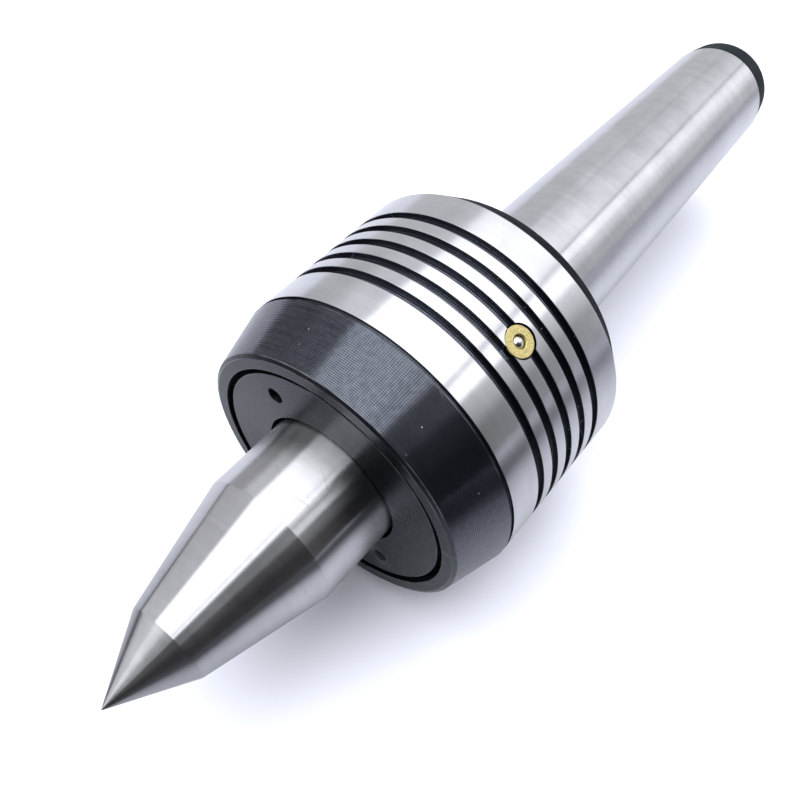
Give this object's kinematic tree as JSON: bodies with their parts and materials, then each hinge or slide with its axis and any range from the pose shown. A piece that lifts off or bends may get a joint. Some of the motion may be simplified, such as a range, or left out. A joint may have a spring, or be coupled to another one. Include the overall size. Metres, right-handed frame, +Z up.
{
  "type": "live center",
  "caption": "Lathe live center: a hardened point spins on ball, thrust and needle bearings inside a grooved body with a ball oiler, on a Morse taper shank.",
  "frame": {"origin": "on the axis, in the gauge plane of the Morse taper, 6.5 mm behind the body's rear face", "axes": "+X along the axis from the point towards the shank's tail, +Z up as the body lies in the picture, the ball oiler up and towards -Y"},
  "size_m": [0.2136, 0.0644, 0.0644],
  "materials": {
    "ground_steel": "fine ground, bright, with black oxide left in the grooves and on the unground faces",
    "black_oxide": "black oxide over fine turning, satin",
    "bearing_steel": "polished",
    "cage_steel": "pressed sheet, satin",
    "spring_steel": "oiled, satin",
    "brass": "dull, lightly tarnished",
    "seal_rubber": "matte"
  },
  "bodies": {
    "body": {"body_shank": "ground_steel", "cover_nut": "black_oxide", "front_seal": "seal_rubber", "front_outer_race": "bearing_steel", "thrust_housing_washer": "bearing_steel", "disc_spring_front": "spring_steel", "disc_spring_rear": "spring_steel", "needle_cup": "bearing_steel", "oiler_cup": "brass", "oiler_spring": "spring_steel"},
    "spindle": {"spindle": "ground_steel", "front_inner_race": "bearing_steel", "retaining_ring": "spring_steel", "spacer_sleeve": "bearing_steel", "thrust_shaft_washer": "bearing_steel"},
    "front_cage": {"front_cage": "cage_steel", "front_ball_01": "bearing_steel", "front_ball_02": "bearing_steel", "front_ball_03": "bearing_steel", "front_ball_04": "bearing_steel", "front_ball_05": "bearing_steel", "front_ball_06": "bearing_steel", "front_ball_07": "bearing_steel", "front_ball_08": "bearing_steel", "front_ball_09": "bearing_steel", "front_ball_10": "bearing_steel"},
    "thrust_cage": {"thrust_cage": "cage_steel", "thrust_ball_01": "bearing_steel", "thrust_ball_02": "bearing_steel", "thrust_ball_03": "bearing_steel", "thrust_ball_04": "bearing_steel", "thrust_ball_05": "bearing_steel", "thrust_ball_06": "bearing_steel", "thrust_ball_07": "bearing_steel", "thrust_ball_08": "bearing_steel", "thrust_ball_09": "bearing_steel", "thrust_ball_10": "bearing_steel", "thrust_ball_11": "bearing_steel", "thrust_ball_12": "bearing_steel"},
    "needle_cage": {"needle_cage": "cage_steel", "needle_01": "bearing_steel", "needle_02": "bearing_steel", "needle_03": "bearing_steel", "needle_04": "bearing_steel", "needle_05": "bearing_steel", "needle_06": "bearing_steel", "needle_07": "bearing_steel", "needle_08": "bearing_steel", "needle_09": "bearing_steel", "needle_10": "bearing_steel", "needle_11": "bearing_steel", "needle_12": "bearing_steel"},
    "oiler_ball": {"oiler_ball": "bearing_steel"}
  },
  "joints": [
    {"name": "spindle_spin", "type": "hinge", "parent": "body", "child": "spindle", "pos_m": [-0.044, 0, 0], "axis": [1, 0, 0], "continuous": true},
    {"name": "front_cage_spin", "type": "hinge", "parent": "body", "child": "front_cage", "pos_m": [-0.0441, 0, 0], "axis": [1, 0, 0], "continuous": true},
    {"name": "thrust_cage_spin", "type": "hinge", "parent": "body", "child": "thrust_cage", "pos_m": [-0.026, 0, 0], "axis": [1, 0, 0], "continuous": true},
    {"name": "needle_cage_spin", "type": "hinge", "parent": "body", "child": "needle_cage", "pos_m": [0.005, 0, 0], "axis": [1, 0, 0], "continuous": true},
    {"name": "oiler_ball_press", "type": "slide", "parent": "body", "child": "oiler_ball", "axis": [0, 0.5864, -0.81], "range_m": [0, 0.0009], "stiffness_N_per_m": 300, "springref_m": -0.0005, "deforming": ["oiler_spring"]}
  ],
  "couplings": [
    {"joint": "front_cage_spin", "follows": "spindle_spin", "ratio": 0.4118},
    {"joint": "thrust_cage_spin", "follows": "spindle_spin", "ratio": 0.5},
    {"joint": "needle_cage_spin", "follows": "spindle_spin", "ratio": 0.4412}
  ]
}
